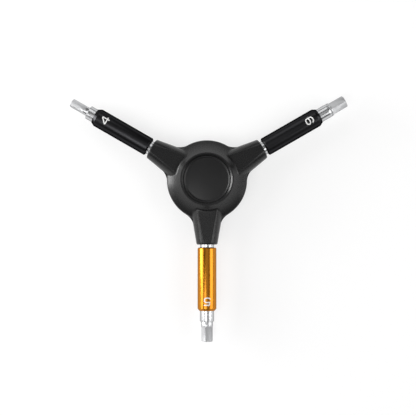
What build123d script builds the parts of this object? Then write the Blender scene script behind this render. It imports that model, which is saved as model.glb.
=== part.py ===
from build123d import *
import os
from math import cos, radians, sin, tan

# A three-arm hex wrench, in millimetres. Its axis is Z, it lies on the rear ring of the hub at z = 0,
# the front faces +Z, and the arms lie in the plane halfway up the hub.

# Hub moulding
hub_radius = 20.0
hub_wall_height = 4.6
hub_floor_thickness = 1.35
hub_wall_round_radius = 1.0
crest_width = 0.6
crown_hollow_depth = 0.35
core_hole_radius = 4.5
profile_angle = 45.0

# Sloped rim that frames the cap on each face, across a narrow gap
dish_rim_width = 0.75
dish_rim_drop = 0.65
dish_gap_width = 0.3

# Push-in cap on each face: a dome inside a raised lip
cap_dome_radius = 10.35
cap_dome_rise = 0.95
cap_valley_depth = 0.15
cap_valley_width = 0.2
cap_lip_height = 0.5
cap_lip_slope_width = 0.6
cap_lip_land_width = 0.3
cap_plate_thickness = 1.5
cap_clearance = 0.1
cap_ledge_width = 2.35
cap_skirt_length = 1.3
cap_skirt_wall_thickness = 1.3
cap_floor_clearance = 0.2
snap_bead_height = 0.2
snap_bead_width = 0.6

# Bosses that carry the arms
boss_length = 12.1
boss_wall_thickness = 1.7
boss_tip_round_radius = 0.8
panel_edge_round_radius = 1.0
boss_taper_angle = 9.75
panel_tip_depth = 0.25
panel_slope_angle = 4.6
boss_blend_radius = 2.0
web_blend_radius = 8.5
web_inset_depth = 0.15

# Steel arms, thick enough for the corners of the largest bit
first_arm_angle = 30.0
arm_count = 3
shank_corner_height = 0.5
root_reach = 8.0
root_chamfer_length = 0.5
knurl_length = 9.0
knurl_depth = 0.35
knurl_count = 12
anchor_groove_width = 2.0
anchor_groove_depth = 0.6
bit_tip_chamfer_length = 0.35

# Spinning sleeves
sleeve_gap_length = 1.5
sleeve_length = 31.25
sleeve_wall_thickness = 1.15
sleeve_clearance = 0.05
sleeve_land_length = 7.0
sleeve_relief_depth = 0.3
sleeve_heel_chamfer_length = 0.4
sleeve_lead_in_length = 0.35
long_nose_length = 1.75
long_nose_depth = 0.9
short_nose_length = 1.0
short_nose_depth = 0.8

# Wire rings that keep the sleeves on
ring_wire_thickness = 0.6
ring_inset_length = 3.5
ring_side_clearance = 0.07
ring_outer_clearance = 0.08
ring_grip_depth = 0.25
ring_spring_clearance = 0.3
ring_gap_angle = 40.0

# Bits: width across the flats, then each step's size beyond the sleeve
across_flats_width_4 = 4.0
neck_corner_height_4 = 0.225
shank_stub_length_4 = 3.9
shoulder_length_4 = 0.3
shoulder_depth_share_4 = 0.25
neck_length_4 = 3.65
facet_length_4 = 6.05
facet_angle_4 = 12.6

across_flats_width_5 = 5.0
neck_corner_height_5 = 0.45
shank_stub_length_5 = 5.35
shoulder_length_5 = 0.3
shoulder_depth_share_5 = 0.5
neck_length_5 = 2.45
facet_length_5 = 7.4
facet_angle_5 = 14.0

across_flats_width_6 = 6.0
neck_corner_height_6 = 0.375
shank_stub_length_6 = 5.9
shoulder_length_6 = 1.2
shoulder_depth_share_6 = 0.8
neck_length_6 = 1.1
facet_length_6 = 7.9
facet_angle_6 = 25.0

cutter_overrun_length = 1.0

# Radii from the shank outwards
shank_radius = across_flats_width_6 / 2 + shank_corner_height
bore_radius = shank_radius + sleeve_clearance
sleeve_radius = bore_radius + sleeve_wall_thickness
boss_tip_radius = shank_radius + boss_wall_thickness
panel_tip_height = boss_tip_radius - panel_tip_depth

# Heights up the front half of the hub
mid_height = (
    shank_radius
    + hub_floor_thickness
    + cap_floor_clearance
    + cap_skirt_length
    + cap_plate_thickness
    + cap_lip_height
    + dish_rim_drop
)
hub_thickness = 2 * mid_height
wall_top = mid_height + hub_wall_height / 2
lip_height = hub_thickness - dish_rim_drop
valley_height = lip_height - cap_lip_height
dome_edge_height = valley_height + cap_valley_depth
ledge_height = valley_height - cap_plate_thickness
skirt_end_height = ledge_height - cap_skirt_length
socket_floor_height = skirt_end_height - cap_floor_clearance
bead_height = (ledge_height + skirt_end_height) / 2

# Radii of the cap, the dish and their fit
lip_foot_radius = cap_dome_radius + cap_valley_width
lip_top_radius = lip_foot_radius + cap_lip_slope_width
cap_radius = lip_top_radius + cap_lip_land_width
pocket_radius = cap_radius + dish_gap_width
dish_rim_radius = pocket_radius + dish_rim_width
crest_radius = dish_rim_radius + crest_width
skirt_radius = cap_radius - cap_ledge_width
socket_radius = skirt_radius + cap_clearance

# Reaches along an arm, and the fit of sleeve, shank and ring
boss_reach = hub_radius + boss_length
sleeve_start = boss_reach + sleeve_gap_length
sleeve_end = sleeve_start + sleeve_length
ring_reach = sleeve_start + ring_inset_length
ring_slot_width = ring_wire_thickness + 2 * ring_side_clearance
ring_slot_start = ring_reach - ring_slot_width / 2
ring_slot_end = ring_reach + ring_slot_width / 2
ring_radius = bore_radius + ring_grip_depth - ring_wire_thickness / 2
sleeve_slot_radius = bore_radius + ring_grip_depth + ring_outer_clearance
shank_slot_radius = shank_radius + ring_grip_depth - ring_wire_thickness - ring_spring_clearance

arm_spacing_angle = 360 / arm_count
arms = [
    dict(
        name="6mm",
        angle=first_arm_angle,
        flats=across_flats_width_6,
        neck_radius=across_flats_width_6 / 2 + neck_corner_height_6,
        shank_stub=shank_stub_length_6,
        shoulder_length=shoulder_length_6,
        shoulder_depth_share=shoulder_depth_share_6,
        neck_length=neck_length_6,
        facet_length=facet_length_6,
        facet_angle=facet_angle_6,
        nose_length=long_nose_length,
        nose_depth=long_nose_depth,
    ),
    dict(
        name="4mm",
        angle=first_arm_angle + arm_spacing_angle,
        flats=across_flats_width_4,
        neck_radius=across_flats_width_4 / 2 + neck_corner_height_4,
        shank_stub=shank_stub_length_4,
        shoulder_length=shoulder_length_4,
        shoulder_depth_share=shoulder_depth_share_4,
        neck_length=neck_length_4,
        facet_length=facet_length_4,
        facet_angle=facet_angle_4,
        nose_length=long_nose_length,
        nose_depth=long_nose_depth,
    ),
    dict(
        name="5mm",
        angle=first_arm_angle + 2 * arm_spacing_angle,
        flats=across_flats_width_5,
        neck_radius=across_flats_width_5 / 2 + neck_corner_height_5,
        shank_stub=shank_stub_length_5,
        shoulder_length=shoulder_length_5,
        shoulder_depth_share=shoulder_depth_share_5,
        neck_length=neck_length_5,
        facet_length=facet_length_5,
        facet_angle=facet_angle_5,
        nose_length=short_nose_length,
        nose_depth=short_nose_depth,
    ),
]

os.makedirs("parts", exist_ok=True)


def save(builder, name):
    builder.part.label = name
    export_step(builder.part, f"parts/{name}.step")


def along(angle):
    return (cos(radians(angle)), sin(radians(angle)), 0)


def arm_axis(angle):
    return Axis((0, 0, mid_height), along(angle))


def lengthwise_plane(angle):
    """Lies in the arms' plane, with its X along the arm from the middle of the hub."""
    return Plane(origin=(0, 0, mid_height), x_dir=along(angle), z_dir=(0, 0, 1))


def upright_plane(angle):
    """Stands on the axis of the hub, with its X away from it at an angle and its Y up."""
    return Plane(origin=(0, 0, 0), x_dir=along(angle), z_dir=along(angle - 90))


def crosswise_plane(angle, reach):
    """Cuts an arm square, at a reach from the middle of the hub, and faces the arm's tip."""
    return Plane(origin=(0, 0, mid_height), x_dir=along(angle + 90), z_dir=along(angle)).offset(reach)


# Steel arms: turned, knurled at the root and milled to a hexagon at the tip
def make_shaft(arm):
    angle = arm["angle"]
    neck_radius = arm["neck_radius"]
    shank_end = sleeve_end + arm["shank_stub"]
    shoulder_depth = arm["shoulder_depth_share"] * (shank_radius - neck_radius)
    facet_start = shank_end + arm["neck_length"]
    tip = facet_start + arm["facet_length"]
    anchor_start = root_reach + knurl_length
    anchor_end = anchor_start + anchor_groove_width
    anchor_radius = shank_radius - anchor_groove_depth
    with BuildPart() as shaft:
        with BuildSketch(lengthwise_plane(angle)):
            with BuildLine():
                Polyline(
                    (root_reach, 0),
                    (root_reach, shank_radius - root_chamfer_length),
                    (root_reach + root_chamfer_length, shank_radius),
                    (anchor_start, shank_radius),
                    (anchor_start, anchor_radius),
                    (anchor_end, anchor_radius),
                    (anchor_end, shank_radius),
                    (ring_slot_start, shank_radius),
                    (ring_slot_start, shank_slot_radius),
                    (ring_slot_end, shank_slot_radius),
                    (ring_slot_end, shank_radius),
                    (shank_end - arm["shoulder_length"], shank_radius),
                    (shank_end, shank_radius - shoulder_depth),
                    (shank_end, neck_radius),
                    (tip - bit_tip_chamfer_length, neck_radius),
                    (tip, neck_radius - bit_tip_chamfer_length),
                    (tip, 0),
                    close=True,
                )
            make_face()
        revolve(axis=arm_axis(angle))
        with BuildSketch(crosswise_plane(angle, root_reach)):
            with PolarLocations(shank_radius, knurl_count):
                Rectangle(2 * knurl_depth, 2 * knurl_depth, rotation=45)
        extrude(amount=knurl_length, mode=Mode.SUBTRACT)
        with BuildSketch(crosswise_plane(angle, facet_start)):
            Circle(shank_radius + cutter_overrun_length)
            RegularPolygon(
                arm["flats"] / 2, 6, major_radius=False, rotation=-arm["facet_angle"], mode=Mode.SUBTRACT
            )
        extrude(amount=arm["facet_length"] + cutter_overrun_length, mode=Mode.SUBTRACT)
    return shaft


shafts = [make_shaft(arm) for arm in arms]
for arm, shaft in zip(arms, shafts):
    save(shaft, f"shaft_{arm['name']}")


# Sleeves: tubes that bear on the shank at both ends, with a slot for the ring near the heel
def make_sleeve(arm):
    heel_land_end = sleeve_start + sleeve_land_length
    nose_land_start = sleeve_end - sleeve_land_length
    relief_radius = bore_radius + sleeve_relief_depth
    with BuildPart() as sleeve:
        with BuildSketch(lengthwise_plane(arm["angle"])):
            with BuildLine():
                Polyline(
                    (sleeve_start, bore_radius + sleeve_lead_in_length),
                    (sleeve_start, sleeve_radius - sleeve_heel_chamfer_length),
                    (sleeve_start + sleeve_heel_chamfer_length, sleeve_radius),
                    (sleeve_end - arm["nose_length"], sleeve_radius),
                    (sleeve_end, sleeve_radius - arm["nose_depth"]),
                    (sleeve_end, bore_radius),
                    (nose_land_start, bore_radius),
                    (nose_land_start - sleeve_relief_depth, relief_radius),
                    (heel_land_end + sleeve_relief_depth, relief_radius),
                    (heel_land_end, bore_radius),
                    (ring_slot_end, bore_radius),
                    (ring_slot_end, sleeve_slot_radius),
                    (ring_slot_start, sleeve_slot_radius),
                    (ring_slot_start, bore_radius),
                    (sleeve_start + sleeve_lead_in_length, bore_radius),
                    close=True,
                )
            make_face()
        revolve(axis=arm_axis(arm["angle"]))
    return sleeve


# Wire rings, sprung out into the slot of the sleeve
def make_ring(arm):
    with BuildPart() as ring:
        with BuildSketch(lengthwise_plane(arm["angle"])):
            with Locations((ring_reach, ring_radius)):
                Rectangle(ring_wire_thickness, ring_wire_thickness)
        revolve(axis=arm_axis(arm["angle"]), revolution_arc=360 - ring_gap_angle)
    return ring


for arm in arms:
    save(make_sleeve(arm), f"sleeve_{arm['name']}")
    save(make_ring(arm), f"snap_ring_{arm['name']}")


# One boss, along +X: a cone with an inclined flat on each face, drawn between two sections
boss_root_reach = crest_radius - crest_width / 2
boss_run = boss_reach - boss_root_reach
boss_root_radius = boss_tip_radius + boss_run * tan(radians(boss_taper_angle))
panel_root_height = panel_tip_height + boss_run * tan(radians(panel_slope_angle))
boss_ends = [
    (boss_root_reach, boss_root_radius, panel_root_height),
    (boss_reach, boss_tip_radius, panel_tip_height),
]

with BuildPart() as boss:
    for reach, radius, panel_height in boss_ends:
        with BuildSketch(crosswise_plane(0, reach)) as section:
            Circle(radius)
            Rectangle(2 * radius, 2 * panel_height, mode=Mode.INTERSECT)
            fillet(section.vertices(), panel_edge_round_radius)
    loft()
    fillet(boss.faces().sort_by(Axis.X)[-1].edges(), boss_tip_round_radius)


# Hub moulding: crown and dish turned about Z, three bosses blended in, and the sockets of the arms.
# The profile stands inside the first boss, which takes the turned body's seam out of the blends.
def off_axis(point):
    return Vector(point.X, point.Y, 0).length


with BuildPart() as hub_body:
    with BuildSketch(upright_plane(profile_angle)):
        with BuildLine():
            Polyline(
                (core_hole_radius, mid_height),
                (core_hole_radius, socket_floor_height),
                (socket_radius, socket_floor_height),
                (socket_radius, bead_height - snap_bead_width / 2),
                (socket_radius + snap_bead_height, bead_height),
                (socket_radius, bead_height + snap_bead_width / 2),
                (socket_radius, ledge_height),
                (pocket_radius, ledge_height),
                (pocket_radius, lip_height),
                (dish_rim_radius, hub_thickness),
                (crest_radius, hub_thickness),
            )
            SagittaArc((crest_radius, hub_thickness), (hub_radius, wall_top), -crown_hollow_depth)
            Polyline((hub_radius, wall_top), (hub_radius, mid_height), (core_hole_radius, mid_height))
        make_face()
    revolve(axis=Axis.Z)
    mirror(about=Plane.XY.offset(mid_height))
    fillet(
        [
            edge
            for edge in hub_body.edges().filter_by(GeomType.CIRCLE)
            if abs(edge.radius - hub_radius) < hub_wall_round_radius
        ],
        hub_wall_round_radius,
    )
    with PolarLocations(0, arm_count, start_angle=first_arm_angle):
        add(boss.part)
    fillet(hub_body.edges(Select.NEW), boss_blend_radius)
    with BuildSketch(Plane.XY.offset(mid_height)) as web:
        Circle(hub_radius)
        with PolarLocations(0, arm_count, start_angle=first_arm_angle):
            Polygon(
                (boss_root_reach, -boss_root_radius + web_inset_depth),
                (boss_reach - boss_tip_round_radius, -boss_tip_radius + web_inset_depth),
                (boss_reach - boss_tip_round_radius, boss_tip_radius - web_inset_depth),
                (boss_root_reach, boss_root_radius - web_inset_depth),
                align=None,
            )
        inner_corners = [
            corner for corner in web.vertices() if abs(off_axis(corner) - hub_radius) < web_inset_depth
        ]
        fillet(inner_corners, web_blend_radius)
    extrude(amount=hub_wall_height / 2 - hub_wall_round_radius, both=True)
    for shaft in shafts:
        add(shaft.part, mode=Mode.SUBTRACT)
save(hub_body, "hub_body")


# Caps: a domed and lipped disc whose skirt snaps into the hub, the same on both faces
with BuildPart() as front_cap:
    with BuildSketch(Plane.XZ):
        with BuildLine():
            TangentArc(
                (0, dome_edge_height + cap_dome_rise), (cap_dome_radius, dome_edge_height), tangent=(1, 0)
            )
            Polyline(
                (cap_dome_radius, dome_edge_height),
                (cap_dome_radius, valley_height),
                (lip_foot_radius, valley_height),
                (lip_top_radius, lip_height),
                (cap_radius, lip_height),
                (cap_radius, ledge_height),
                (skirt_radius, ledge_height),
                (skirt_radius, bead_height + snap_bead_width / 2),
                (skirt_radius + snap_bead_height, bead_height),
                (skirt_radius, bead_height - snap_bead_width / 2),
                (skirt_radius, skirt_end_height),
                (skirt_radius - cap_skirt_wall_thickness, skirt_end_height),
                (skirt_radius - cap_skirt_wall_thickness, ledge_height),
            )
            TangentArc(
                (0, ledge_height + cap_dome_rise / 2),
                (skirt_radius - cap_skirt_wall_thickness, ledge_height),
                tangent=(1, 0),
            )
            Line((0, ledge_height + cap_dome_rise / 2), (0, dome_edge_height + cap_dome_rise))
        make_face()
    revolve(axis=Axis.Z)
save(front_cap, "front_cap")

with BuildPart() as rear_cap:
    mirror(front_cap.part, about=Plane.XY.offset(mid_height))
save(rear_cap, "rear_cap")
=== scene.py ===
import bpy
from math import atan2, cos, dist, pi, radians, sin, sqrt
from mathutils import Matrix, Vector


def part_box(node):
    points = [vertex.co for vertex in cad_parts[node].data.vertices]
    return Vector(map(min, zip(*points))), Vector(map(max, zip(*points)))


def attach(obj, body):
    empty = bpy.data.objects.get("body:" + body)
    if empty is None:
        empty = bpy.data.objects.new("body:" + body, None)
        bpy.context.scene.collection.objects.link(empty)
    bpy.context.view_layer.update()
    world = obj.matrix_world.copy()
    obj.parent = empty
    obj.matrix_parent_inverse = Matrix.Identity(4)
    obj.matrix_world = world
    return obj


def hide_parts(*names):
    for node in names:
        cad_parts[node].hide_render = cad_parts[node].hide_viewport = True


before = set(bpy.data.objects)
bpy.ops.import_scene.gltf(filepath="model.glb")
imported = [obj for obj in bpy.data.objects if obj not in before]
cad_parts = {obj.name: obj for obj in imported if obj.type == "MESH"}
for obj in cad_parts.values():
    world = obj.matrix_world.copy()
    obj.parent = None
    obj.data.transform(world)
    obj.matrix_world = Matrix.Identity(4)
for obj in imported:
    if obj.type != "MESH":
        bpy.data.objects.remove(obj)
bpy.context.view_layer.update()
bpy.ops.object.select_all(action='DESELECT')

mm = 0.001  # pieces are modelled in millimetres and shrunk to metres at the end
midHeight = (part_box("hub_body")[0][2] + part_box("hub_body")[1][2]) / 2 / mm  # height of the arms' axes
arms = {"4mm": 150, "5mm": 270, "6mm": 30}  # direction of each arm, in degrees


# node helpers
def newMaterial(name):
    material = bpy.data.materials.new(name)
    material.use_nodes = True
    nodes = material.node_tree.nodes
    links = material.node_tree.links
    return material, nodes, links, nodes["Principled BSDF"]


def objectCoords(nodes, links, turn=0):
    coords = nodes.new("ShaderNodeTexCoord")
    mapping = nodes.new("ShaderNodeMapping")
    mapping.inputs["Location"].default_value = (0, 0, -midHeight * mm)
    links.new(coords.outputs["Object"], mapping.inputs["Vector"])
    if not turn:
        return mapping.outputs["Vector"]
    aligned = nodes.new("ShaderNodeMapping")  # its X runs along the arm
    aligned.inputs["Rotation"].default_value = (0, 0, radians(-turn))
    links.new(mapping.outputs["Vector"], aligned.inputs["Vector"])
    return aligned.outputs["Vector"]


def stretched(nodes, links, vector, scale):
    mapping = nodes.new("ShaderNodeMapping")
    mapping.inputs["Scale"].default_value = scale
    links.new(vector, mapping.inputs["Vector"])
    return mapping.outputs["Vector"]


def noiseOn(nodes, links, vector, scale, detail=3, roughness=0.55):
    noise = nodes.new("ShaderNodeTexNoise")
    noise.inputs["Scale"].default_value = scale
    noise.inputs["Detail"].default_value = detail
    noise.inputs["Roughness"].default_value = roughness
    links.new(vector, noise.inputs["Vector"])
    return noise.outputs["Fac"]


def ranged(nodes, links, value, low, high, fromLow=0.3, fromHigh=0.7):
    mapRange = nodes.new("ShaderNodeMapRange")
    mapRange.inputs["From Min"].default_value = fromLow
    mapRange.inputs["From Max"].default_value = fromHigh
    mapRange.inputs["To Min"].default_value = low
    mapRange.inputs["To Max"].default_value = high
    links.new(value, mapRange.inputs["Value"])
    return mapRange.outputs["Result"]


def tinted(nodes, links, factor, dark, light):
    mix = nodes.new("ShaderNodeMix")
    mix.data_type = 'RGBA'
    mix.inputs[6].default_value = (*dark, 1)
    mix.inputs[7].default_value = (*light, 1)
    links.new(factor, mix.inputs["Factor"])
    return mix.outputs[2]


def bumped(nodes, links, height, distance):
    bump = nodes.new("ShaderNodeBump")
    bump.inputs["Strength"].default_value = 1
    bump.inputs["Distance"].default_value = distance
    links.new(height, bump.inputs["Height"])
    return bump.outputs["Normal"]


def mathOn(nodes, links, operation, *values):
    # each value is a number or another node's output
    node = nodes.new("ShaderNodeMath")
    node.operation = operation
    for socket, value in zip(node.inputs, values):
        if isinstance(value, (int, float)):
            socket.default_value = value
        else:
            links.new(value, socket)
    return node.outputs[0]


# moulded nylon of the hub and its caps
nylon = {
    "dark": (0.0030, 0.0030, 0.0032),
    "light": (0.0055, 0.0055, 0.0058),
    "hubGloss": 0.26,
    "capGloss": 0.40,
    "smoother": 0.05,  # spread of the gloss from spot to spot
    "rougher": 0.08,
    "specular": 0.42,
    "cloudScale": 60,
    "grain": 0.00035,  # pitch of the spark texture, metres
    "grainDepth": 0.000012,
    "capGrain": 0.6,  # share of that depth on the caps
}


def mouldedNylon(name, gloss, grainDepth):
    material, nodes, links, shader = newMaterial(name)
    coords = objectCoords(nodes, links)
    grain = noiseOn(nodes, links, coords, 1 / nylon["grain"], 4, 0.6)
    cloud = noiseOn(nodes, links, coords, nylon["cloudScale"], 2)
    spread = ranged(nodes, links, grain, gloss - nylon["smoother"], gloss + nylon["rougher"])
    links.new(tinted(nodes, links, cloud, nylon["dark"], nylon["light"]), shader.inputs["Base Color"])
    links.new(spread, shader.inputs["Roughness"])
    links.new(bumped(nodes, links, grain, grainDepth), shader.inputs["Normal"])
    shader.inputs["Specular IOR Level"].default_value = nylon["specular"]
    return material


hubNylon = mouldedNylon("hubNylon", nylon["hubGloss"], nylon["grainDepth"])
capNylon = mouldedNylon("capNylon", nylon["capGloss"], nylon["grainDepth"] * nylon["capGrain"])


# metals, one of each for every arm, because the tool marks run round it
metals = {
    "chrome": (0.62, 0.625, 0.635),
    "chromeGloss": 0.26,
    "chromeTint": 0.25,
    "bitGloss": 0.14,  # added roughness of the ground facets
    "bitFrom": 0.07,  # metres along the arm
    "bitFade": 0.0006,
    "gold": (0.53, 0.195, 0.009),
    "goldGloss": 0.24,
    "goldTint": 0.5,
    "goldCoat": 0.15,
    "black": (0.032, 0.032, 0.034),
    "blackGloss": 0.30,
    "blackTint": 0.1,
    "wire": (0.45, 0.45, 0.46),
    "wireGloss": 0.3,
    "coatIor": 1.7,
    "coatGloss": 0.7,  # share of the metal's own roughness
    "markPitch": 0.00025,  # turning marks, metres
    "markDrawn": 0.03,  # they are drawn out round the arm
    "markDepth": 0.0000008,
    "smudgeScale": 140,
}


def turnedMetal(name, angle, colour, gloss, edgeTint=1.0, coat=0.0, groundBit=False):
    material, nodes, links, shader = newMaterial(name)
    coords = objectCoords(nodes, links, angle)
    drawnOut = stretched(nodes, links, coords, (1, metals["markDrawn"], metals["markDrawn"]))
    marks = noiseOn(nodes, links, drawnOut, 1 / metals["markPitch"], 3)
    smudge = noiseOn(nodes, links, coords, metals["smudgeScale"], 3)
    shader.inputs["Base Color"].default_value = (*colour, 1)
    shader.inputs["Metallic"].default_value = 1.0
    shader.inputs["Specular Tint"].default_value = (edgeTint, edgeTint, edgeTint, 1)
    shader.inputs["Coat Weight"].default_value = coat
    shader.inputs["Coat IOR"].default_value = metals["coatIor"]
    shader.inputs["Coat Roughness"].default_value = gloss * metals["coatGloss"]
    rough = ranged(nodes, links, smudge, gloss - 0.02, gloss + 0.03)
    if groundBit:
        along = nodes.new("ShaderNodeSeparateXYZ")
        links.new(coords, along.inputs["Vector"])
        start = metals["bitFrom"]
        satin = ranged(nodes, links, along.outputs["X"], 0, metals["bitGloss"], start, start + metals["bitFade"])
        rough = mathOn(nodes, links, 'ADD', rough, satin)
    links.new(rough, shader.inputs["Roughness"])
    links.new(bumped(nodes, links, marks, metals["markDepth"]), shader.inputs["Normal"])
    return material


def chromeOf(arm):
    return turnedMetal(f"chrome{arm}", arms[arm], metals["chrome"], metals["chromeGloss"], metals["chromeTint"],
                       groundBit=True)


def blackOf(arm):
    return turnedMetal(f"blackAnodised{arm}", arms[arm], metals["black"], metals["blackGloss"], metals["blackTint"])


chrome = {arm: chromeOf(arm) for arm in arms}
sleeveMetal = {
    "4mm": blackOf("4mm"),
    "5mm": turnedMetal("goldAnodised", arms["5mm"], metals["gold"], metals["goldGloss"], metals["goldTint"],
                       metals["goldCoat"]),
    "6mm": blackOf("6mm"),
}
wireSteel = turnedMetal("wireSteel", 0, metals["wire"], metals["wireGloss"])

for name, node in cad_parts.items():
    if name.startswith("snap"):
        node.material_slots[0].material = wireSteel
print("materials ready")


# shared steps of modelling
def startEdit():
    bpy.ops.object.mode_set(mode='EDIT')
    bpy.ops.mesh.select_mode(type='VERT')


def endEdit():
    bpy.ops.object.mode_set(mode='OBJECT')


def turnForm(name, profile, closed, sides=96):
    # draws the form round Z: each step of the profile is the last ring extruded and resized
    bpy.ops.object.select_all(action='DESELECT')
    height, radius = profile[0]
    bpy.ops.mesh.primitive_circle_add(vertices=sides, radius=radius)
    form = bpy.context.object
    form.name = name
    startEdit()
    bpy.ops.transform.translate(value=(0, 0, height))
    for nextHeight, nextRadius in profile[1:]:
        bpy.ops.mesh.extrude_region_move(TRANSFORM_OT_translate={"value": (0, 0, nextHeight - height)})
        swell = nextRadius / radius
        bpy.ops.transform.resize(value=(swell, swell, 1), center_override=(0, 0, nextHeight))
        height, radius = nextHeight, nextRadius
    if closed:
        bpy.ops.mesh.select_all(action='SELECT')
        bpy.ops.mesh.remove_doubles(threshold=0.001)
    else:
        bpy.ops.mesh.edge_face_add()  # closes the last ring
        bpy.ops.mesh.select_all(action='DESELECT')
        bpy.ops.mesh.select_non_manifold()
        bpy.ops.mesh.edge_face_add()  # and the first
    bpy.ops.mesh.select_all(action='SELECT')
    bpy.ops.mesh.normals_make_consistent(inside=False)
    endEdit()
    return form


def applyModifier(piece, modifier):
    bpy.context.view_layer.objects.active = piece
    bpy.ops.object.modifier_apply(modifier=modifier.name)


def softenEdges(piece, width, segments=2, angle=24):
    bevel = piece.modifiers.new("softEdges", 'BEVEL')
    bevel.width = width
    bevel.segments = segments
    bevel.limit_method = 'ANGLE'
    bevel.angle_limit = radians(angle)
    applyModifier(piece, bevel)


def cutWith(piece, cutter, operation='DIFFERENCE'):
    boolean = piece.modifiers.new("cut", 'BOOLEAN')
    boolean.operation = operation
    boolean.solver = 'EXACT'
    boolean.use_self = operation == 'INTERSECT'  # the strokes of a digit run through each other
    boolean.object = cutter
    applyModifier(piece, boolean)
    bpy.data.objects.remove(cutter)


def settle(piece, turn, place, smoothAngle=30):
    # stands the piece where it belongs, shrinks it to metres and bakes both into its mesh
    bpy.ops.object.select_all(action='DESELECT')
    piece.select_set(True)
    bpy.context.view_layer.objects.active = piece
    piece.rotation_euler = turn
    piece.location = [value * mm for value in place]
    piece.scale = (mm, mm, mm)
    bpy.ops.object.transform_apply(location=True, rotation=True, scale=True)
    bpy.ops.object.shade_smooth_by_angle(angle=radians(smoothAngle))


def settleOnArm(piece, arm, smoothAngle=30):
    settle(piece, (0, radians(90), radians(arms[arm])), (0, 0, midHeight), smoothAngle)


def dress(piece, material, body):
    piece.data.materials.clear()
    piece.data.materials.append(material)
    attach(piece, body)


def reachOf(node, arm):
    # how far the node starts and ends along its arm, in millimetres
    direction = (cos(radians(arms[arm])), sin(radians(arms[arm])))
    reaches = [v.co.x * direction[0] + v.co.y * direction[1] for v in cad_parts[node].data.vertices]
    return min(reaches) / mm, max(reaches) / mm


# spinning sleeves
sleeve = {
    "radius": 4.7,
    "bore": 3.55,
    "heelChamfer": 0.4,
    "mouthDepth": 0.35,
    "exitChamfer": 0.12,
    "slotStart": 3.13,  # slot of the wire ring, from the heel
    "slotEnd": 3.87,
    "slotRadius": 3.88,
    "noseLength": {"4mm": 1.75, "5mm": 1.0, "6mm": 1.75},
    "noseDepth": {"4mm": 0.9, "5mm": 0.8, "6mm": 0.9},
    "edge": 0.09,
}


def makeSleeve(arm):
    start, end = reachOf(f"sleeve_{arm}", arm)
    radius = sleeve["radius"]
    bore = sleeve["bore"]
    profile = [
        (start + sleeve["mouthDepth"], bore),
        (start, bore + sleeve["mouthDepth"]),
        (start, radius - sleeve["heelChamfer"]),
        (start + sleeve["heelChamfer"], radius),
        (end - sleeve["noseLength"][arm], radius),
        (end, radius - sleeve["noseDepth"][arm]),
        (end, bore + sleeve["exitChamfer"]),
        (end - sleeve["exitChamfer"], bore),
        (start + sleeve["slotEnd"], bore),
        (start + sleeve["slotEnd"], sleeve["slotRadius"]),
        (start + sleeve["slotStart"], sleeve["slotRadius"]),
        (start + sleeve["slotStart"], bore),
        (start + sleeve["mouthDepth"], bore),
    ]
    piece = turnForm(f"sleeve{arm}", profile, closed=True, sides=128)
    softenEdges(piece, sleeve["edge"], 3)
    settleOnArm(piece, arm)
    dress(piece, sleeveMetal[arm], f"spinner_{arm}")
    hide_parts(f"sleeve_{arm}")


for arm in arms:
    makeSleeve(arm)
print("sleeves done")


# steel arms and their bits
shank = {
    "radius": 3.5,
    "rootChamfer": 0.5,
    "grooveWidth": 0.74,
    "grooveRadius": 2.85,
    "groovePlace": 3.87,  # from the sleeve's heel to the far side of the groove
    "reliefWidth": 0.24,  # undercut at the foot of the neck
    "reliefDepth": 0.2,
    "tipChamfer": 0.35,
    "cutterRadius": 6,
    "cutterPast": 1,  # how far the facets' cutter runs past the tip
    "edge": 0.09,
}
bits = {
    "4mm": {"flats": 4.0, "neck": 2.225, "stub": 3.9, "shoulder": 0.3, "shoulderDepth": 0.31875,
            "neckLength": 3.65, "turn": 12.6},
    "5mm": {"flats": 5.0, "neck": 2.95, "stub": 5.35, "shoulder": 0.3, "shoulderDepth": 0.275,
            "neckLength": 2.45, "turn": 14.0},
    "6mm": {"flats": 6.0, "neck": 3.375, "stub": 5.9, "shoulder": 1.2, "shoulderDepth": 0.1,
            "neckLength": 1.1, "turn": 25.0},
}


def hexSleeve(flats, start, end, turn):
    # a thick ring with a six-sided hole, which mills the flats
    middle = (0, 0, (start + end) / 2)
    bpy.ops.mesh.primitive_cylinder_add(vertices=6, radius=flats / 2 / cos(radians(30)), depth=end - start + 4,
                                        location=middle, rotation=(0, 0, radians(-turn)))
    hole = bpy.context.object
    bpy.ops.mesh.primitive_cylinder_add(vertices=24, radius=shank["cutterRadius"], depth=end - start, location=middle)
    ring = bpy.context.object
    cutWith(ring, hole)
    return ring


def makeShaft(arm):
    bit = bits[arm]
    root, tip = reachOf(f"shaft_{arm}", arm)
    heel, sleeveEnd = reachOf(f"sleeve_{arm}", arm)
    shankEnd = sleeveEnd + bit["stub"]
    facetStart = shankEnd + bit["neckLength"]
    grooveEnd = heel + shank["groovePlace"]
    radius = shank["radius"]
    profile = [
        (root, radius - shank["rootChamfer"]),
        (root + shank["rootChamfer"], radius),
        (grooveEnd - shank["grooveWidth"], radius),
        (grooveEnd - shank["grooveWidth"], shank["grooveRadius"]),
        (grooveEnd, shank["grooveRadius"]),
        (grooveEnd, radius),
        (shankEnd - bit["shoulder"], radius),
        (shankEnd, radius - bit["shoulderDepth"]),
        (shankEnd, bit["neck"] - shank["reliefDepth"]),
        (shankEnd + shank["reliefWidth"], bit["neck"] - shank["reliefDepth"]),
        (shankEnd + shank["reliefWidth"], bit["neck"]),
        (tip - shank["tipChamfer"], bit["neck"]),
        (tip, bit["neck"] - shank["tipChamfer"]),
    ]
    piece = turnForm(f"steelArm{arm}", profile, closed=False, sides=96)
    cutWith(piece, hexSleeve(bit["flats"], facetStart, tip + shank["cutterPast"], bit["turn"]))
    softenEdges(piece, shank["edge"], 2, 20)
    settleOnArm(piece, arm, 25)
    dress(piece, chrome[arm], "handle")
    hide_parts(f"shaft_{arm}")


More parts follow.
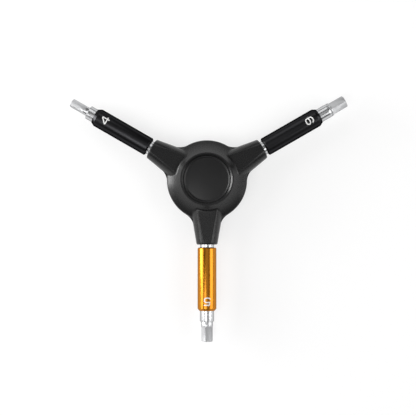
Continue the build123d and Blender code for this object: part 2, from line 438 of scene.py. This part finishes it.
for arm in arms:
    makeShaft(arm)
print("steel arms done")


# size digits, printed on the sleeves
digits = {
    "stroke": 0.58,
    "bend": 20,  # sides of the pen's round end
    "lift": 0.006,
    "thickness": 0.03,
    "depth": 2.4,  # of the strokes before they are cut to a thin print
    "reach": 4,  # half the length of the thin tube they are cut with
    "sharp": 0.6,  # cosine of the turn from which a corner stays sharp
    "cut": 0.3,  # how far a gentle bend is cut back
    "cutShare": 0.25,  # of the way to the next bend, at most
    "place": {"4mm": 58.6, "5mm": 60.15, "6mm": 58.65},  # middle of each digit along its arm
}
# the way of the pen in millimetres, to the right and towards the bit
penLine = {
    "4mm": [(1.30, -1.65), (1.30, 1.80), (0.95, 1.80), (-1.30, -0.45), (-1.30, -0.75), (2.12, -0.75)],
    "5mm": [
        (1.30, 1.74), (-1.15, 1.74), (-1.36, 0.30), (-0.55, 0.40), (0.45, 0.36), (0.95, 0.16), (1.27, -0.25),
        (1.27, -1.05), (0.98, -1.55), (0.45, -1.80), (-0.75, -1.80), (-1.25, -1.62), (-1.45, -1.30),
    ],
    "6mm": [
        (1.46, 1.32), (1.10, 1.80), (0.50, 2.02), (-0.50, 2.02), (-1.15, 1.72), (-1.44, 1.10), (-1.44, -0.85),
        (-1.15, -1.40), (-0.50, -1.66), (0.60, -1.66), (1.25, -1.40), (1.52, -0.80), (1.52, -0.45), (1.25, 0.10),
        (0.60, 0.34), (-0.50, 0.34), (-1.15, 0.10), (-1.44, -0.40),
    ],
}
paint, nodes, links, shader = newMaterial("digitPaint")
mottle = noiseOn(nodes, links, objectCoords(nodes, links), 900, 3)
links.new(tinted(nodes, links, mottle, (0.76, 0.76, 0.75), (0.88, 0.88, 0.87)), shader.inputs["Base Color"])
shader.inputs["Roughness"].default_value = 0.55


def eased(points):
    # cuts each gentle bend in two, so that the curves look round, and keeps the sharp corners
    path = [points[0]]
    for before, bend, after in zip(points, points[1:], points[2:]):
        turn = atan2(after[1] - bend[1], after[0] - bend[0]) - atan2(bend[1] - before[1], bend[0] - before[0])
        if cos(turn) < digits["sharp"]:
            path.append(bend)
            continue
        for end in (before, after):
            cut = min(digits["cutShare"], digits["cut"] / dist(bend, end))
            path.append((bend[0] + (end[0] - bend[0]) * cut, bend[1] + (end[1] - bend[1]) * cut))
    path.append(points[-1])
    return path


def penStroke(points, distance):
    # bars with a round peg at every bend, standing across the arm, which lies along Z here
    high = -sleeve["radius"]
    width = digits["stroke"]
    depth = digits["depth"]
    parts = []
    for right, ahead in points:
        bpy.ops.mesh.primitive_cylinder_add(vertices=digits["bend"], radius=width / 2, depth=depth,
                                            location=(high, -right, distance + ahead), rotation=(0, radians(90), 0))
        parts.append(bpy.context.object)
    for (right, ahead), (nextRight, nextAhead) in zip(points, points[1:]):
        middle = (high, -(right + nextRight) / 2, distance + (ahead + nextAhead) / 2)
        length = dist((right, ahead), (nextRight, nextAhead))
        slant = atan2(nextAhead - ahead, right - nextRight)
        bpy.ops.mesh.primitive_cube_add(size=1, location=middle, rotation=(slant, 0, 0), scale=(depth, length, width))
        parts.append(bpy.context.object)
    return parts


def makeDigit(arm):
    distance = digits["place"][arm]
    parts = penStroke(eased(penLine[arm]), distance)
    bpy.ops.object.select_all(action='DESELECT')
    for part in parts:
        part.select_set(True)
    bpy.context.view_layer.objects.active = parts[0]
    bpy.ops.object.join()
    bpy.ops.object.transform_apply(location=True, rotation=True, scale=True)
    inner = sleeve["radius"] + digits["lift"]
    outer = inner + digits["thickness"]
    near = distance - digits["reach"]
    far = distance + digits["reach"]
    profile = [(near, inner), (near, outer), (far, outer), (far, inner), (near, inner)]
    piece = turnForm(f"sizeDigit{arm[0]}", profile, closed=True, sides=128)
    cutWith(piece, parts[0], 'INTERSECT')
    settleOnArm(piece, arm, 20)
    dress(piece, paint, f"spinner_{arm}")


for arm in arms:
    makeDigit(arm)
print("digits done")


# caps
cap = {
    "domeRadius": 10.35,
    "domeRise": 0.95,
    "domeRings": 14,
    "valleyDepth": 0.15,
    "valleyWidth": 0.2,
    "lipHeight": 0.5,
    "lipSlope": 0.6,
    "lipLand": 0.3,
    "plate": 1.5,  # from the ledge to the valley
    "skirtRadius": 9.1,
    "skirtLength": 1.3,
    "skirtWall": 1.3,
    "bead": 0.2,
    "beadHalf": 0.3,
    "edge": 0.05,
}


def makeCap(node, upper):
    low, high = (corner[2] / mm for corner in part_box(node))
    ledge = cap["skirtLength"]
    skirt = cap["skirtRadius"]
    inner = skirt - cap["skirtWall"]
    valley = ledge + cap["plate"]
    lipTop = valley + cap["lipHeight"]
    domeEdge = valley + cap["valleyDepth"]
    lipFoot = cap["domeRadius"] + cap["valleyWidth"]
    lipInner = lipFoot + cap["lipSlope"]
    rim = lipInner + cap["lipLand"]
    profile = [
        (ledge, inner),
        (0, inner),
        (0, skirt),
        (ledge / 2 - cap["beadHalf"], skirt),
        (ledge / 2, skirt + cap["bead"]),
        (ledge / 2 + cap["beadHalf"], skirt),
        (ledge, skirt),
        (ledge, rim),
        (lipTop, rim),
        (lipTop, lipInner),
        (valley, lipFoot),
        (valley, cap["domeRadius"]),
        (domeEdge, cap["domeRadius"]),
    ]
    sphere = (cap["domeRadius"] ** 2 + cap["domeRise"] ** 2) / 2 / cap["domeRise"]
    for ring in range(1, cap["domeRings"]):
        reach = cap["domeRadius"] * cos(radians(90 * ring / cap["domeRings"]))
        profile.append((domeEdge + cap["domeRise"] - sphere + sqrt(sphere ** 2 - reach ** 2), reach))
    piece = turnForm("capFront" if upper else "capRear", profile, closed=False, sides=160)
    softenEdges(piece, cap["edge"], 2, 30)
    if upper:
        settle(piece, (0, 0, 0), (0, 0, low), 32)
    else:
        settle(piece, (radians(180), 0, 0), (0, 0, high), 32)
    dress(piece, capNylon, "handle")
    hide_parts(node)


makeCap("front_cap", True)
makeCap("rear_cap", False)
print("caps done")


# hub moulding: the CAD shape with its seams merged and its blends smoothed
hub = {
    "merge": 0.000002,
    "smooth": 28,
}
shell = bpy.data.objects.new("hubMoulding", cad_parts["hub_body"].data.copy())
bpy.context.scene.collection.objects.link(shell)
bpy.ops.object.select_all(action='DESELECT')
shell.select_set(True)
bpy.context.view_layer.objects.active = shell
bpy.ops.mesh.customdata_custom_splitnormals_clear()
startEdit()
bpy.ops.mesh.select_all(action='SELECT')
bpy.ops.mesh.remove_doubles(threshold=hub["merge"])
endEdit()
bpy.ops.object.shade_smooth_by_angle(angle=radians(hub["smooth"]))
dress(shell, hubNylon, "handle")
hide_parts("hub_body")
print("hub done")


# floor, light and camera
studio = {
    "floorSize": 6.0,
    "floorColour": (0.37, 0.37, 0.37),
    "floorGlow": 0.65,
    "farGlow": 0.35,  # added for the camera where the lamps don't reach
    "farStart": 0.3,
    "farEnd": 1.3,
    "skyLevel": 0.1,
    "horizonLevel": 0.9,
    "horizonHeight": 3,  # degrees up to which the backdrop is pale
    "horizonFade": 10,
    "distance": 0.72,
}
# side it stands on, degrees off overhead, width, height, brightness
panels = {
    "leftSoftbox": (176, 62, 0.60, 0.34, 4.2),
    "leftLowPanel": (166, 77, 0.46, 0.20, 11.0),
    "leftTopPanel": (230, 29, 0.38, 0.30, 3.2),
    "rightSoftbox": (0, 56, 0.56, 0.50, 2.8),
    "nearRightPanel": (312, 42, 0.32, 0.22, 0.8),
    "farPanel": (104, 52, 0.46, 0.40, 1.2),
    "overheadPanel": (0, 2, 0.50, 0.50, 0.45),
}


def whiteForView(nodes, links):
    path = nodes.new("ShaderNodeLightPath")
    seen = mathOn(nodes, links, 'MAXIMUM', path.outputs["Is Camera Ray"], path.outputs["Is Glossy Ray"])
    return mathOn(nodes, links, 'MAXIMUM', seen, path.outputs["Is Transmission Ray"])


def seenByCamera(nodes):
    return nodes.new("ShaderNodeLightPath").outputs["Is Camera Ray"]


bpy.ops.mesh.primitive_plane_add(size=studio["floorSize"])
floor = bpy.context.object
floor.name = "studioFloor"
floorPaint, nodes, links, shader = newMaterial("floorPaint")
shader.inputs["Base Color"].default_value = (*studio["floorColour"], 1)
shader.inputs["Roughness"].default_value = 0.9
shader.inputs["Specular IOR Level"].default_value = 0.1
shader.inputs["Emission Color"].default_value = (1, 1, 1, 1)
spot = nodes.new("ShaderNodeTexCoord")
reach = nodes.new("ShaderNodeVectorMath")
reach.operation = 'LENGTH'
links.new(spot.outputs["Object"], reach.inputs[0])
farGlow = ranged(nodes, links, reach.outputs["Value"], 0, studio["farGlow"], studio["farStart"], studio["farEnd"])
farGlow = mathOn(nodes, links, 'MULTIPLY', farGlow, seenByCamera(nodes))
glow = mathOn(nodes, links, 'MULTIPLY_ADD', whiteForView(nodes, links), studio["floorGlow"], farGlow)
links.new(glow, shader.inputs["Emission Strength"])
floor.data.materials.append(floorPaint)

world = bpy.data.worlds.new("studioWorld")
bpy.context.scene.world = world
world.use_nodes = True
nodes = world.node_tree.nodes
links = world.node_tree.links
background = nodes["Background"]
background.inputs["Color"].default_value = (1, 1, 1, 1)
direction = nodes.new("ShaderNodeTexCoord")
upward = nodes.new("ShaderNodeSeparateXYZ")
links.new(direction.outputs["Generated"], upward.inputs["Vector"])
bandTop = sin(radians(studio["horizonHeight"]))
fadeTop = sin(radians(studio["horizonFade"]))
horizon = ranged(nodes, links, upward.outputs["Z"], 1, 0, bandTop, fadeTop)
# the camera sees white all over, the metal a pale wall behind the floor
wall = mathOn(nodes, links, 'MAXIMUM', horizon, seenByCamera(nodes))
wall = mathOn(nodes, links, 'MULTIPLY', wall, whiteForView(nodes, links))
level = mathOn(nodes, links, 'MULTIPLY_ADD', wall, studio["horizonLevel"], studio["skyLevel"])
links.new(level, background.inputs["Strength"])


def softbox(name, turn, polar, width, height, level):
    # an evenly lit panel that faces the object
    away = studio["distance"] * sin(radians(polar))
    place = (away * cos(radians(turn)), away * sin(radians(turn)), studio["distance"] * cos(radians(polar)))
    bpy.ops.object.light_add(type='AREA', location=place, rotation=(radians(polar), 0, radians(turn + 90)))
    lamp = bpy.context.object
    lamp.name = name
    lamp.data.shape = 'RECTANGLE'
    lamp.data.size = width
    lamp.data.size_y = height
    lamp.data.energy = level * pi * width * height


for name, panel in panels.items():
    softbox(name, *panel)


camera = {
    "place": (0.0005, -0.032, 0.409),
    "aimY": -0.0138,  # the picture's middle, at the arms' height
    "frameWidth": 0.208,  # metres across the picture at that height
    "sensor": 36.0,
    "near": 0.01,
}
fall = camera["place"][2] - midHeight * mm
ahead = camera["aimY"] - camera["place"][1]
bpy.ops.object.camera_add(location=camera["place"], rotation=(atan2(ahead, fall), 0, 0))
eye = bpy.context.object
eye.name = "photoCamera"
eye.data.sensor_width = camera["sensor"]
eye.data.lens = camera["sensor"] * sqrt(fall ** 2 + ahead ** 2) / camera["frameWidth"]
eye.data.clip_start = camera["near"]
bpy.context.scene.camera = eye
bpy.context.scene.view_settings.view_transform = 'Standard'
print("studio ready, lens", round(eye.data.lens, 2))
